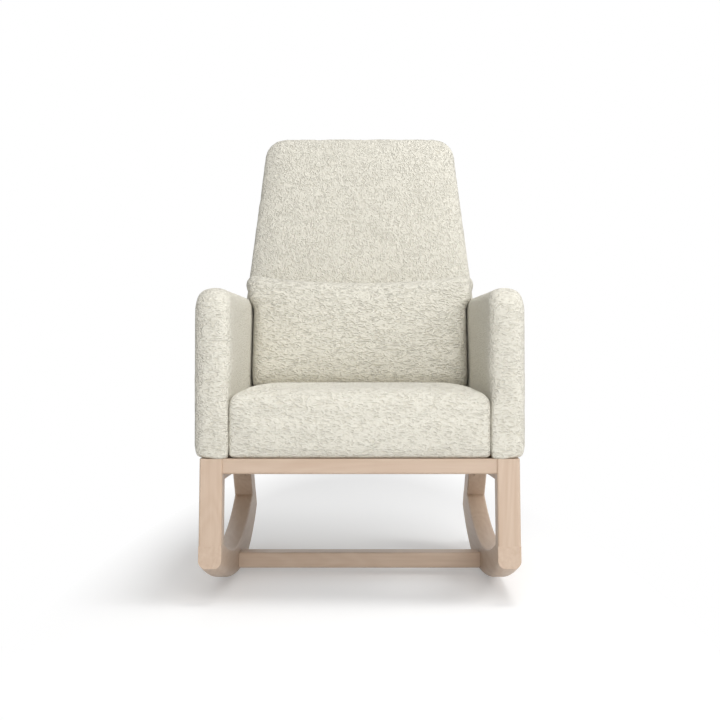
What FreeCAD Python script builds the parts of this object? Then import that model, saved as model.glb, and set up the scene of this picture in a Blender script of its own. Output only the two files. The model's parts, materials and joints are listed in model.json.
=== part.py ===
import FreeCAD, Part
import math
import os

Vector = FreeCAD.Vector

# Upholstered rocking chair, in millimetres. It faces -Y, X runs across it and Z is up.
# Y is counted from the front of the front legs while the pieces are made. At the end every piece is
# moved so that the origin is on the floor, under the middle of the whole chair.

# Fits
touch_gap = 0.3
hole_clearance = 0.3
dowel_clearance = 0.1
cover_thickness = 2.5

# Wooden base
base_setback = 14.2
member_width = 46.0
rail_top = 292.0
leg_depth = 42.0
leg_lean = 5.0
edge_round = 4.0
runner_bottom_round = 15.0
rocking_point = 368.5
front_rocker_radius = 1030.0
rear_rocker_radius = 560.0
runner_height = 71.5
runner_top_radius = 640.0
runner_top_low_point = 270.0
rear_leg_behind_back = 106.0
rear_leg_lean = 35.0
rear_leg_width = 64.0
side_rail_front_height = 46.0
side_rail_fall = 1.5
front_rail_height = 31.0
front_rail_thickness = 28.0
front_rail_setback = 3.0
rear_rail_height = 42.0
rear_rail_thickness = 28.0
rear_rail_lead = 4.0
stretcher_front = 274.0
stretcher_depth = 45.0
stretcher_height = 35.0
stretcher_bottom = 17.0
corner_block_leg = 62.0
corner_block_height = 26.0

# Dowels, bolts and screws
dowel_diameter = 8.0
dowel_length = 44.0
dowel_spacing = 20.0
rail_dowel_spacing = 14.0
bolt_diameter = 8.0
bolt_head_diameter = 14.0
bolt_head_height = 8.0
stretcher_bolt_length = 86.0
barrel_nut_diameter = 10.0
barrel_nut_length = 14.0
barrel_nut_inset = 40.0
insert_diameter = 12.0
insert_length = 20.0
arm_bolt_front = 110.0
arm_bolt_rear = 350.0
screw_diameter = 4.5
screw_head_diameter = 8.5
screw_head_height = 3.0
block_screw_length = 36.0
block_screw_place = 18.0
seat_screw_bite = 25.0
seat_screw_spread = 150.0

# Seat
seat_gap_width = 530.0
seat_front = 2.0
seat_padding_height = 154.0
seat_edge_depth = 48.0
seat_edge_reach = 180.0
seat_fall = 28.0
seat_depth = 500.0
seat_corner_round = 6.0
seat_fullness = 2.7
seat_frame_side_gap = 15.0
seat_frame_front = 18.0
seat_frame_back_gap = 29.0
seat_frame_height = 60.0
seat_frame_thickness = 26.0
spring_count = 4
spring_pitch = 32.0
spring_zigzag_width = 46.0
spring_wire = 3.6
clip_length = 22.0
clip_depth = 12.0
clip_height = 7.0
deck_thickness = 2.0
dust_cover_thickness = 1.0

# Arms
arm_thickness = 70.0
arm_front = -1.0
arm_height = 346.0
arm_top_rise = 10.0
arm_edge_round = 31.0
arm_overhang = 8.0
arm_front_corner = 52.0
arm_other_corner = 34.0
arm_bottom_corner = 12.0
arm_outer_fullness = 2.0
arm_inner_fullness = 2.7
arm_behind_back_face = 34.0
arm_panel_thickness = 15.0
arm_panel_inset = 26.0
arm_groove_depth = 10.0
cleat_side_gap = 23.5
cleat_height = 35.0
cleat_front = 30.0
cleat_back_gap = 26.0

# Back
recline = 15.0
back_foot = 461.0
back_length = 829.0
back_setback = 4.0
back_top_width = 500.0
back_thickness = 94.0
back_taper = 0.24
back_corner_round = 58.0
back_front_depth = 42.0
back_front_reach = 150.0
back_fullness = 3.0
back_rear_round = 18.0
back_frame_inset = 24.0
back_frame_front = 31.0
back_post_width = 38.0
back_top_rail_height = 52.0
back_bottom_rail_height = 50.0
back_bottom_rail_lift = 24.0
back_panel_thickness = 3.0
strap_count = 6
strap_width = 55.0
strap_thickness = 1.6
strap_lowest = 120.0
strap_pitch = 112.0

# Loose pillow
pillow_foot_gap = 6.0
pillow_shoulder_gap = 6.0
pillow_shoulder_drop = 5.0
pillow_flare_height = 40.0
pillow_flare_reach = 23.0
pillow_corner_height = 25.0
pillow_corner_reach = 8.0
pillow_thickness = 116.0
pillow_edge_reach = 52.0
pillow_fullness = 3.0
pillow_corner_round = 16.0
pillow_shoulder_round = 20.0
pillow_top_dip = 9.0
pillow_side_bow = 2.5
pillow_settle = 5.3

# Values that follow from the sizes above
least_round = 3.0
same_place = 0.01
soft_shares = (0.0, 0.015, 0.06, 0.18, 0.45, 1.0)
upholstery_width = seat_gap_width + 2 * arm_thickness
base_half = upholstery_width / 2 - base_setback
inner_half = base_half - member_width
side_middle = base_half - member_width / 2
arm_outer = upholstery_width / 2
arm_inner = seat_gap_width / 2
arm_middle = arm_inner + arm_thickness / 2
arm_top_front = rail_top + arm_height
seat_crest = rail_top + seat_padding_height
seat_frame_rear = back_foot - seat_frame_back_gap
rear_rail_front = seat_frame_rear - seat_frame_thickness - rear_rail_lead
rear_bend = back_foot + rear_leg_behind_back
cleat_rear = back_foot - cleat_back_gap
back_bottom_width = upholstery_width - 2 * back_setback
recline_sine = math.sin(math.radians(recline))
recline_cosine = math.cos(math.radians(recline))
recline_tangent = math.tan(math.radians(recline))
below_floor = -rail_top


def unit(vector):
    """The vector at length one."""
    return vector / vector.Length


def lines_meet(first, second):
    """Crossing point of two lines in one plane, each given as a point and a direction."""
    point, along = first
    other_point, other_along = second
    across = Vector(-other_along.y, other_along.x, 0)
    share = across.dot(other_point - point) / across.dot(along)
    return point + along * share


def line_meets_circle(point, along, centre, radius):
    """Lower crossing of a rising line and a circle in one plane."""
    offset = point - centre
    half = offset.dot(along)
    root = math.sqrt(half * half - offset.dot(offset) + radius * radius)
    return min(point + along * (-half - root), point + along * (-half + root), key=lambda p: p.y)


def circle_height(centre, radius, across):
    """Height of the lower half of a circle at a place across it."""
    return centre.y - math.sqrt(radius ** 2 - (across - centre.x) ** 2)


def cylinder(radius, start, end):
    """Round bar between two points."""
    return Part.makeCylinder(radius, (end - start).Length, start, end - start)


def box_between(low, high):
    """Box between its lowest and its highest corner."""
    size = high - low
    return Part.makeBox(size.x, size.y, size.z, low)


def mirrored(shape):
    """The same piece on the other side of the chair."""
    return shape.mirror(Vector(0, 0, 0), Vector(1, 0, 0))


def both_sides(shapes):
    """The pieces and their mirror images."""
    return shapes + [mirrored(shape) for shape in shapes]


# Padded forms

def rounded_corners(corners, radii, inset):
    """Start, middle and end of each rounded corner of an outline that is moved in by inset."""
    lines = []
    for index, corner in enumerate(corners):
        along = unit(corners[(index + 1) % len(corners)] - corner)
        inward = Vector(-along.y, along.x, 0)
        lines.append((corner + inward * inset, along))
    rounded = []
    for index, radius in enumerate(radii):
        corner = lines_meet(lines[index - 1], lines[index])
        before = lines[index - 1][1]
        after = lines[index][1]
        turn = math.atan2(before.cross(after).z, before.dot(after))
        if turn > 0:
            radius = max(radius - inset, least_round)
        reach = radius * math.tan(abs(turn) / 2)
        middle = corner + unit(after - before) * (radius / math.cos(turn / 2) - radius)
        rounded.append((corner - before * reach, middle, corner + after * reach))
    return rounded


def outline_wire(corners, radii, bows, inset, place):
    """Closed wire of an outline's arcs and sides, a side drawn in by its bow."""
    rounded = rounded_corners(corners, radii, inset)
    edges = []
    for index, (start, middle, end) in enumerate(rounded):
        edges.append(Part.Arc(place(start), place(middle), place(end)).toShape())
        following = rounded[(index + 1) % len(rounded)][0]
        if bows[index]:
            along = unit(following - end)
            drawn_in = (end + following) / 2 + Vector(-along.y, along.x, 0) * bows[index]
            edges.append(Part.Arc(place(end), place(drawn_in), place(following)).toShape())
        else:
            edges.append(Part.LineSegment(place(end), place(following)).toShape())
    return Part.Wire(edges)


def stacked_form(corners, radii, bows, stations, place):
    """Solid through an outline at each station, a height and how far the outline is moved in there."""
    wires = []
    for height, inset in stations:
        wires.append(outline_wire(corners, radii, bows, inset, lambda point, h=height: place(point, h)))
    return Part.makeLoft(wires, True, True)


def soft_stations(rim, depth, reach, fullness):
    """Stations of a padded face from its rim, which rises by depth where the outline is in by reach."""
    stations = []
    for share in soft_shares:
        rise = (1 - (1 - share) ** fullness) ** (1 / fullness)
        stations.append((rim + depth * rise, reach * share))
    return stations


def shrunk(stations, shrink):
    """The same stations for a form that is smaller by shrink along its outline."""
    return [(height, inset + shrink) for height, inset in stations]


def above_rails(shape):
    """The part of a padded form that is over the rails."""
    wide = 2 * upholstery_width
    return shape.cut(box_between(Vector(-wide, -wide, below_floor), Vector(wide, 2 * wide, rail_top)))


def back_point(point, depth):
    """Place of a point of the reclined back: across, along its length, and in from its front."""
    thin = depth * (1 - back_taper * point.y / back_length)
    y = back_foot + point.y * recline_sine + thin * recline_cosine
    z = rail_top + point.y * recline_cosine - thin * recline_sine
    return Vector(point.x, y, z)


def back_half_width(length):
    """Half of the back's width at a place along its length."""
    share = length / back_length
    return (back_bottom_width + (back_top_width - back_bottom_width) * share) / 2


back_radii = [least_round, least_round, back_corner_round, back_corner_round]


def back_outline():
    """Corners of the back, which starts a little below the rails and is trimmed there."""
    low = -back_thickness
    return [Vector(-back_half_width(low), low, 0), Vector(back_half_width(low), low, 0),
            Vector(back_half_width(back_length), back_length, 0),
            Vector(-back_half_width(back_length), back_length, 0)]


def back_form(shrink):
    """Outer form of the padded back, smaller by shrink."""
    front = soft_stations(-back_front_depth, back_front_depth - shrink, back_front_reach, back_fullness)
    rear_rim = back_thickness - back_rear_round
    rear = soft_stations(rear_rim, back_rear_round - shrink, back_rear_round, 2.0)
    stations = [(-height, inset) for height, inset in reversed(front)] + rear
    return stacked_form(back_outline(), back_radii, [0, 0, 0, 0], shrunk(stations, shrink), back_point)


def back_prism(corners, radii, inset, front, rear):
    """Straight-sided piece of the back between two depths."""
    stations = [(front, inset), (rear, inset)]
    return stacked_form(corners, radii, [0] * len(corners), stations, back_point)


def arm_form(shrink):
    """Outer form of the right arm, smaller by shrink."""
    low = rail_top - arm_overhang
    rear = back_foot + arm_behind_back_face
    corners = [Vector(arm_front, low, 0), Vector(rear, low, 0),
               Vector(rear + (arm_top_front - low) * recline_tangent, arm_top_front + arm_top_rise, 0),
               Vector(arm_front, arm_top_front, 0)]
    radii = [arm_bottom_corner, arm_bottom_corner, arm_other_corner, arm_front_corner]
    depth = arm_edge_round - shrink
    outer = soft_stations(arm_outer - arm_edge_round, depth, arm_edge_round, arm_outer_fullness)
    inner = soft_stations(-arm_inner - arm_edge_round, depth, arm_edge_round, arm_inner_fullness)
    stations = [(-height, inset) for height, inset in reversed(inner)] + outer
    return stacked_form(corners, radii, [0, 0, 0, 0], shrunk(stations, shrink),
                        lambda point, across: Vector(across, point.x, point.y))


def seat_top_share(height):
    """How far up the padded seat a height is, from the rails to the crest."""
    return (height - rail_top) / (seat_crest - rail_top)


def seat_point(point, height):
    """Place of a point of the seat, which falls to the rear."""
    fall = seat_fall * (point.y - seat_front) / seat_depth
    return Vector(point.x, point.y, height - fall * max(seat_top_share(height), 0))


def seat_form(shrink):
    """Outer form of the padded seat, smaller by shrink."""
    half = arm_inner - touch_gap
    rear = seat_front + seat_depth
    corners = [Vector(-half, seat_front, 0), Vector(half, seat_front, 0), Vector(half, rear, 0),
               Vector(-half, rear, 0)]
    rim = seat_crest - seat_edge_depth
    top = soft_stations(rim, seat_edge_depth - shrink, seat_edge_reach, seat_fullness)
    stations = shrunk([(rail_top - arm_overhang, 0)] + top, shrink)
    return stacked_form(corners, [seat_corner_round] * 4, [0, 0, 0, 0], stations, seat_point)


# The pillow's foot rests on the falling seat, and its shoulders clear the arms
pillow_half = pillow_thickness / 2
seat_fall_slope = seat_fall / seat_depth
pillow_foot_behind = back_foot - pillow_half * recline_cosine - seat_front
pillow_foot_rise = seat_padding_height - pillow_settle - pillow_half * recline_sine
pillow_foot = ((pillow_foot_rise - seat_fall_slope * pillow_foot_behind)
               / (recline_cosine + seat_fall_slope * recline_sine))
pillow_shoulder_rise = arm_height - pillow_shoulder_drop - pillow_half * recline_sine
pillow_shoulder_height = pillow_shoulder_rise / recline_cosine - pillow_foot
pillow_flare_top = pillow_shoulder_height + pillow_flare_height
pillow_height = pillow_flare_top + pillow_corner_height
pillow_widest = seat_gap_width + 2 * pillow_flare_reach


def pillow_point(point, depth):
    """Place of a point of the pillow, which leans on the back: across, up from its foot, and in front."""
    length = point.y + pillow_foot
    y = back_foot + length * recline_sine - depth * recline_cosine
    z = rail_top + length * recline_cosine + depth * recline_sine
    return Vector(point.x, y, z)


def pillow_form(shrink):
    """Outer form of the loose pillow, smaller by shrink."""
    right = [Vector(arm_inner - pillow_foot_gap, 0, 0),
             Vector(arm_inner - pillow_shoulder_gap, pillow_shoulder_height, 0),
             Vector(pillow_widest / 2, pillow_flare_top, 0),
             Vector(arm_inner + pillow_corner_reach, pillow_height, 0)]
    left = [Vector(-corner.x, corner.y, 0) for corner in reversed(right)]
    right_radii = [pillow_corner_round, pillow_shoulder_round, pillow_shoulder_round, pillow_shoulder_round]
    bows = [pillow_side_bow, 0, 0, pillow_top_dip, 0, 0, pillow_side_bow, pillow_side_bow]
    bottom_radii = list(reversed(right_radii))
    half = pillow_half
    face = soft_stations(0, half - touch_gap - shrink, pillow_edge_reach, pillow_fullness)
    stations = [(half - rise, inset) for rise, inset in reversed(face)]
    stations += [(half + rise, inset) for rise, inset in face[1:]]
    wires = []
    for depth, inset in shrunk(stations, shrink):
        across = 1 - 2 * inset / pillow_widest
        upright = 1 - 2 * inset / pillow_height
        corners = [Vector(corner.x * across, inset + corner.y * upright, 0) for corner in right + left]
        radii = [radius * upright for radius in right_radii + bottom_radii]
        drawn = [bow * upright for bow in bows]
        wires.append(outline_wire(corners, radii, drawn, 0, lambda point, d=depth: pillow_point(point, d)))
    return Part.makeLoft(wires, True, True)


# Wooden members of one side, in the plane of Y and Z

lean_tangent = math.tan(math.radians(leg_lean))
leg_down = unit(Vector(-lean_tangent, -1, 0))
leg_front_line = (Vector(0, rail_top, 0), leg_down)
leg_rear_line = (Vector(leg_depth, rail_top, 0), leg_down)
front_rocker_centre = Vector(rocking_point, front_rocker_radius, 0)
rear_rocker_centre = Vector(rocking_point, rear_rocker_radius, 0)
runner_top_centre = Vector(runner_top_low_point, runner_height + runner_top_radius, 0)
leg_foot = line_meets_circle(leg_rear_line[0], leg_rear_line[1], runner_top_centre, runner_top_radius)
joint_height = leg_foot.y
leg_toe = lines_meet(leg_front_line, (Vector(0, joint_height, 0), Vector(1, 0, 0)))
toe_tip = line_meets_circle(leg_front_line[0], leg_front_line[1], front_rocker_centre, front_rocker_radius)
bend = Vector(rear_bend, circle_height(runner_top_centre, runner_top_radius, rear_bend), 0)
rear_leg_up = unit(Vector(-math.tan(math.radians(rear_leg_lean)), 1, 0))
rear_leg_step = Vector(rear_leg_width / math.cos(math.radians(rear_leg_lean)), 0, 0)
heel = bend + rear_leg_step
heel_tip = line_meets_circle(heel, rear_leg_up, rear_rocker_centre, rear_rocker_radius)
rail_bottom_height = rail_top - side_rail_front_height
rail_bottom_front = lines_meet(leg_rear_line, (Vector(0, rail_bottom_height, 0), Vector(1, 0, 0)))
rail_bottom_line = (rail_bottom_front, unit(Vector(1, -math.tan(math.radians(side_rail_fall)), 0)))
rear_leg_top_front = lines_meet(rail_bottom_line, (bend, rear_leg_up))
rear_leg_top_rear = lines_meet(rail_bottom_line, (heel, rear_leg_up))
rail_end = lines_meet((heel, rear_leg_up), (Vector(0, rail_top, 0), Vector(1, 0, 0)))
rail_start = Vector(leg_depth, rail_top, 0)


def on_side(point, across):
    """A point of the side's plane at a place across the chair."""
    return Vector(across, point.x, point.y)


def straight(start, end):
    """Straight stretch of a side member's outline."""
    return Part.LineSegment(on_side(start, inner_half), on_side(end, inner_half)).toShape()


def round_stretch(start, end, centre, radius):
    """Round stretch of a side member's outline, through the lower half of a circle."""
    across = (start.x + end.x) / 2
    middle = Vector(across, circle_height(centre, radius, across), 0)
    points = [on_side(point, inner_half) for point in (start, middle, end)]
    return Part.Arc(*points).toShape()


def member(stretches):
    """Right side member of the base, cut from its outline."""
    return Part.Face(Part.Wire(stretches)).extrude(Vector(member_width, 0, 0))


def outline_edges(shape, stretches):
    """Edges of a member, on its inner and outer face, that follow the given stretches."""
    found = []
    for stretch in stretches:
        middle = stretch.valueAt((stretch.FirstParameter + stretch.LastParameter) / 2)
        for across in (0, member_width):
            target = middle + Vector(across, 0, 0)
            found += [edge for edge in shape.Edges if edge.distToShape(Part.Vertex(target))[0] < same_place
                      and abs(edge.CenterOfMass.x - target.x) < same_place]
    return found


def front_leg():
    """Front leg: leaning post from the runner to the rail top."""
    front = straight(Vector(0, rail_top, 0), leg_toe)
    foot = straight(leg_toe, leg_foot)
    rear = straight(leg_foot, rail_start)
    top = straight(rail_start, Vector(0, rail_top, 0))
    shape = member([front, foot, rear, top])
    return shape.makeFillet(edge_round, outline_edges(shape, [front, rear]))


def runner():
    """Curved runner: two rocker arcs below, one arc above, a short face at the toe and at the heel."""
    lowest = Vector(rocking_point, 0, 0)
    toe = straight(leg_toe, toe_tip)
    front_arc = round_stretch(toe_tip, lowest, front_rocker_centre, front_rocker_radius)
    rear_arc = round_stretch(lowest, heel_tip, rear_rocker_centre, rear_rocker_radius)
    end = straight(heel_tip, heel)
    rear_seat = straight(heel, bend)
    top = round_stretch(bend, leg_foot, runner_top_centre, runner_top_radius)
    front_seat = straight(leg_foot, leg_toe)
    shape = member([toe, front_arc, rear_arc, end, rear_seat, top, front_seat])
    shape = shape.makeFillet(runner_bottom_round, outline_edges(shape, [front_arc, rear_arc]))
    return shape.makeFillet(edge_round, outline_edges(shape, [top]))


def rear_leg():
    """Rear leg: slanted post from the runner's heel to the side rail."""
    front = straight(bend, rear_leg_top_front)
    top = straight(rear_leg_top_front, rear_leg_top_rear)
    rear = straight(rear_leg_top_rear, heel)
    foot = straight(heel, bend)
    shape = member([front, top, rear, foot])
    return shape.makeFillet(edge_round, outline_edges(shape, [front, rear]))


def side_rail():
    """Side rail between the front leg and the rear leg's top."""
    start = straight(rail_start, rail_bottom_front)
    bottom = straight(rail_bottom_front, rear_leg_top_front)
    seat = straight(rear_leg_top_front, rear_leg_top_rear)
    end = straight(rear_leg_top_rear, rail_end)
    top = straight(rail_end, rail_start)
    shape = member([start, bottom, seat, end, top])
    return shape.makeFillet(edge_round, outline_edges(shape, [bottom]))


def rail_bar(low, high):
    """Straight bar with its long lower edges rounded."""
    bar = box_between(low, high)
    along = [edge for edge in bar.Edges if abs(edge.CenterOfMass.x) < same_place]
    lower = [edge for edge in along if edge.CenterOfMass.z < low.z + same_place]
    return bar.makeFillet(edge_round, lower)


front_rail_rear = front_rail_setback + front_rail_thickness
rear_rail_rear = rear_rail_front + rear_rail_thickness
front_rail = rail_bar(Vector(-inner_half, front_rail_setback, rail_top - front_rail_height),
                      Vector(inner_half, front_rail_rear, rail_top))
rear_rail = rail_bar(Vector(-inner_half, rear_rail_front, rail_top - rear_rail_height),
                     Vector(inner_half, rear_rail_rear, rail_top))
stretcher_rear = stretcher_front + stretcher_depth
stretcher_top = stretcher_bottom + stretcher_height
stretcher = box_between(Vector(-inner_half, stretcher_front, stretcher_bottom),
                        Vector(inner_half, stretcher_rear, stretcher_top))
long_edges = [edge for edge in stretcher.Edges if abs(edge.CenterOfMass.x) < same_place]
stretcher = stretcher.makeFillet(edge_round, long_edges)

# Dowels: two in each joint of the side members, square to it, and two in each end of the rails

dowels = []
dowel_holes = []


def add_dowel(middle, direction):
    """One dowel through a joint, and the hole for it."""
    radius = dowel_diameter / 2
    reach = direction * (dowel_length / 2)
    spare = direction * (dowel_length / 2 + hole_clearance)
    dowels.append(cylinder(radius, middle - reach, middle + reach))
    dowel_holes.append(cylinder(radius + dowel_clearance, middle - spare, middle + spare))


side_joints = [(leg_toe, leg_foot), (bend, heel), (rear_leg_top_front, rear_leg_top_rear),
               (rail_start, rail_bottom_front)]
for start, end in side_joints:
    along = unit(end - start)
    square = Vector(-along.y, along.x, 0)
    for place in (-dowel_spacing / 2, dowel_spacing / 2):
        add_dowel(on_side((start + end) / 2, side_middle + place), on_side(square, 0))
rail_ends = [(front_rail_setback + front_rail_thickness / 2, rail_top - front_rail_height / 2),
             (rear_rail_front + rear_rail_thickness / 2, rail_top - rear_rail_height / 2)]
for y, z in rail_ends:
    for place in (-rail_dowel_spacing / 2, rail_dowel_spacing / 2):
        add_dowel(Vector(inner_half, y, z + place), Vector(1, 0, 0))

# Bolts of the stretcher, each drawn by a barrel nut

bolt_radius = bolt_diameter / 2
head_radius = bolt_head_diameter / 2
stretcher_axis = Vector(0, stretcher_front + stretcher_depth / 2, stretcher_bottom + stretcher_height / 2)
head_seat = base_half - bolt_head_height - hole_clearance
bolt_tip = head_seat - stretcher_bolt_length


def along_x(x):
    """A point of the stretcher's bolt axis."""
    return stretcher_axis + Vector(x, 0, 0)


stretcher_bolt = cylinder(bolt_radius, along_x(bolt_tip), along_x(head_seat))
stretcher_bolt_head = cylinder(head_radius, along_x(head_seat), along_x(head_seat + bolt_head_height))
stretcher_bolt = stretcher_bolt.fuse(stretcher_bolt_head)
bolt_way = cylinder(bolt_radius + hole_clearance, along_x(bolt_tip - hole_clearance), along_x(base_half))
head_way = cylinder(head_radius + hole_clearance, along_x(head_seat), along_x(base_half + bolt_head_height))
nut_middle = along_x(inner_half - barrel_nut_inset)
nut_half = Vector(0, 0, barrel_nut_length / 2)
barrel_nut = cylinder(barrel_nut_diameter / 2, nut_middle - nut_half, nut_middle + nut_half)
barrel_nut = barrel_nut.cut(cylinder(bolt_radius + dowel_clearance, along_x(bolt_tip), along_x(head_seat)))
nut_way = cylinder(barrel_nut_diameter / 2 + hole_clearance, nut_middle - Vector(0, 0, stretcher_height),
                   nut_middle + nut_half)
stretcher_holes = both_sides([bolt_way, nut_way])

# Seat frame and its springs

frame_half = arm_inner - seat_frame_side_gap
frame_top = rail_top + seat_frame_height
side_member_front = seat_frame_front + seat_frame_thickness
side_member_rear = seat_frame_rear - seat_frame_thickness
seat_frame_front_bar = box_between(Vector(-frame_half, seat_frame_front, rail_top),
                                   Vector(frame_half, side_member_front, frame_top))
seat_frame_rear_bar = box_between(Vector(-frame_half, side_member_rear, rail_top),
                                  Vector(frame_half, seat_frame_rear, frame_top))
seat_frame_right_bar = box_between(Vector(frame_half - seat_frame_thickness, side_member_front, rail_top),
                                   Vector(frame_half, side_member_rear, frame_top))
wire_radius = spring_wire / 2
spring_height = frame_top + clip_height / 2
clip_front = seat_frame_front + seat_frame_thickness / 2
clip_rear = seat_frame_rear - seat_frame_thickness / 2
zigzag_half = spring_zigzag_width / 2


def zigzag_spring(middle):
    """Sinuous spring from the front clip to the rear clip, a wire of straight runs and quarter turns."""
    turns = 2 * int((clip_rear - clip_front) / spring_pitch / 2) + 1
    step = (clip_rear - clip_front) / turns
    radius = step / 2
    reach = zigzag_half - radius
    corner = radius * math.sqrt(0.5)
    edges = []
    start = Vector(middle - zigzag_half, clip_front, spring_height)
    for index in range(turns + 1):
        side = 1 if index % 2 == 0 else -1
        y = clip_front + index * step
        last = index == turns
        end = Vector(middle + side * (zigzag_half if last else reach), y, spring_height)
        edges.append(Part.LineSegment(start, end).toShape())
        if last:
            break
        outer = Vector(middle + side * zigzag_half, y + radius, spring_height)
        back = Vector(middle + side * reach, y + step, spring_height)
        first_middle = Vector(middle + side * (reach + corner), y + radius - corner, spring_height)
        second_middle = Vector(middle + side * (reach + corner), y + radius + corner, spring_height)
        edges.append(Part.Arc(end, first_middle, outer).toShape())
        edges.append(Part.Arc(outer, second_middle, back).toShape())
        start = back
    path = Part.Wire(edges)
    section = Part.Wire([Part.Circle(edges[0].Vertexes[0].Point, Vector(1, 0, 0), wire_radius).toShape()])
    return path.makePipeShell([section], True, False)


def spring_clip(middle, y):
    """Clip on the seat frame, with a bore for the spring's end run."""
    low = Vector(middle - clip_length / 2, y - clip_depth / 2, frame_top)
    clip = box_between(low, low + Vector(clip_length, clip_depth, clip_height))
    start = Vector(middle - clip_length, y, spring_height)
    end = Vector(middle + clip_length, y, spring_height)
    return clip.cut(cylinder(wire_radius + dowel_clearance, start, end))


spring_spacing = 2 * (frame_half - seat_frame_thickness) / spring_count
spring_middles = [(index - (spring_count - 1) / 2) * spring_spacing for index in range(spring_count)]
springs = [zigzag_spring(middle) for middle in spring_middles]
clips = [spring_clip(middle, y) for middle in spring_middles for y in (clip_front, clip_rear)]
deck_bottom = frame_top + clip_height + touch_gap
deck_top = deck_bottom + deck_thickness
seat_deck = box_between(Vector(-frame_half, seat_frame_front, deck_bottom),
                        Vector(frame_half, seat_frame_rear, deck_top))
dust_cover = box_between(Vector(-frame_half, front_rail_rear + touch_gap, rail_top - dust_cover_thickness),
                         Vector(frame_half, rear_rail_front - touch_gap, rail_top))

# Screws from the base rails up into the seat frame

screw_radius = screw_diameter / 2
screw_head_radius = screw_head_diameter / 2


def screw(head_point, direction, length):
    """Countersunk screw from the face of its head."""
    tip = head_point + direction * length
    cone = Part.makeCone(screw_head_radius, screw_radius, screw_head_height, head_point, direction)
    return cone.fuse(cylinder(screw_radius, head_point, tip))


front_screw_y = (seat_frame_front + front_rail_rear) / 2
rear_screw_y = (max(rear_rail_front, side_member_rear) + min(rear_rail_rear, seat_frame_rear)) / 2
seat_screws = []
for y, height in ((front_screw_y, front_rail_height), (rear_screw_y, rear_rail_height)):
    for x in (-seat_screw_spread, 0, seat_screw_spread):
        head = Vector(x, y, rail_top - height)
        seat_screws.append(screw(head, Vector(0, 0, 1), height + seat_screw_bite))

# Corner blocks behind the front rail and before the rear rail, each with two screws

block_top = rail_top - dust_cover_thickness - touch_gap


def corner_block(y, inward):
    """Triangular block in the right corner between a rail and the side, with its screws."""
    low = block_top - corner_block_height
    corner = Vector(inner_half, y, low)
    wire = Part.makePolygon([corner, corner - Vector(corner_block_leg, 0, 0),
                             corner + Vector(0, inward * corner_block_leg, 0), corner])
    block = Part.Face(wire).extrude(Vector(0, 0, corner_block_height))
    middle = low + corner_block_height / 2
    far = corner_block_leg - block_screw_place
    near_y = y + inward * block_screw_place
    far_y = y + inward * corner_block_leg
    side_head = Vector(inner_half - block_screw_place, near_y, middle)
    rail_head = Vector(inner_half - far, near_y, middle)
    screws = [screw(side_head, Vector(1, 0, 0), block_screw_length),
              screw(rail_head, Vector(0, -inward, 0), block_screw_length)]
    ways = [cylinder(screw_head_radius, Vector(inner_half - corner_block_leg, near_y, middle), side_head),
            cylinder(screw_head_radius, Vector(inner_half - far, far_y, middle), rail_head)]
    for cutter in screws + ways:
        block = block.cut(cutter)
    return block, screws


front_block, front_block_screws = corner_block(front_rail_rear, 1)
rear_block, rear_block_screws = corner_block(rear_rail_front, -1)
blocks = both_sides([front_block, rear_block])
block_screws = both_sides(front_block_screws + rear_block_screws)

# Arms: cleat on the side rail, panel in the cleat's groove, foam and cover

cleat_half = arm_thickness / 2 - cleat_side_gap
cleat_top = rail_top + cleat_height
panel_low = cleat_top - arm_groove_depth
panel_half = arm_panel_thickness / 2
back_clear = back_form(-touch_gap)
cleat = box_between(Vector(arm_middle - cleat_half, cleat_front, rail_top),
                    Vector(arm_middle + cleat_half, cleat_rear, cleat_top))
panel_high = arm_top_front - arm_panel_inset


def arm_panel_prism(grow):
    """Arm panel, grown by a gap for the space that it needs in the cleat and the foam."""
    low_rear = cleat_rear - arm_panel_inset
    high_rear = low_rear + (panel_high - panel_low) * recline_tangent
    corners = [Vector(cleat_front, panel_low, 0), Vector(low_rear, panel_low, 0),
               Vector(high_rear, panel_high, 0), Vector(cleat_front, panel_high, 0)]
    radii = [least_round, least_round, least_round, arm_front_corner - arm_panel_inset]
    stations = [(arm_middle - panel_half - grow, -grow), (arm_middle + panel_half + grow, -grow)]
    return stacked_form(corners, radii, [0, 0, 0, 0], stations,
                        lambda point, across: Vector(across, point.x, point.y))


arm_panel = arm_panel_prism(0)
cleat = cleat.cut(arm_panel_prism(dowel_clearance))
space_half = cleat_half + touch_gap
cleat_space = box_between(Vector(arm_middle - space_half, cleat_front - touch_gap, below_floor),
                          Vector(arm_middle + space_half, cleat_rear + touch_gap, cleat_top + touch_gap))
arm_outside = above_rails(arm_form(0).cut(back_clear))
arm_inside = arm_form(cover_thickness).cut(back_form(-touch_gap - cover_thickness))
arm_cover = arm_outside.cut(arm_inside)
foam_inset = cover_thickness + touch_gap
arm_foam = above_rails(arm_form(foam_inset).cut(back_form(-touch_gap - foam_inset)))
arm_foam = arm_foam.cut(arm_panel_prism(touch_gap)).cut(cleat_space)

# Seat foam and cover

seat_outside = above_rails(seat_form(0).cut(back_clear))
seat_inside = seat_form(cover_thickness).cut(back_form(-touch_gap - cover_thickness))
seat_cover = seat_outside.cut(seat_inside)
frame_space = box_between(Vector(-frame_half - touch_gap, seat_frame_front - touch_gap, below_floor),
                          Vector(frame_half + touch_gap, seat_frame_rear + touch_gap, deck_top + touch_gap))
seat_foam = above_rails(seat_form(foam_inset).cut(back_form(-touch_gap - foam_inset))).cut(frame_space)

# Back: frame, straps, outside panel, foam and cover

frame_rear = back_thickness - cover_thickness - touch_gap - back_panel_thickness
panel_rear = frame_rear + back_panel_thickness
frame_form = back_prism(back_outline(), back_radii, back_frame_inset, back_frame_front, frame_rear)
posts_end = back_length - back_frame_inset - back_top_rail_height
post_low = -back_thickness


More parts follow.
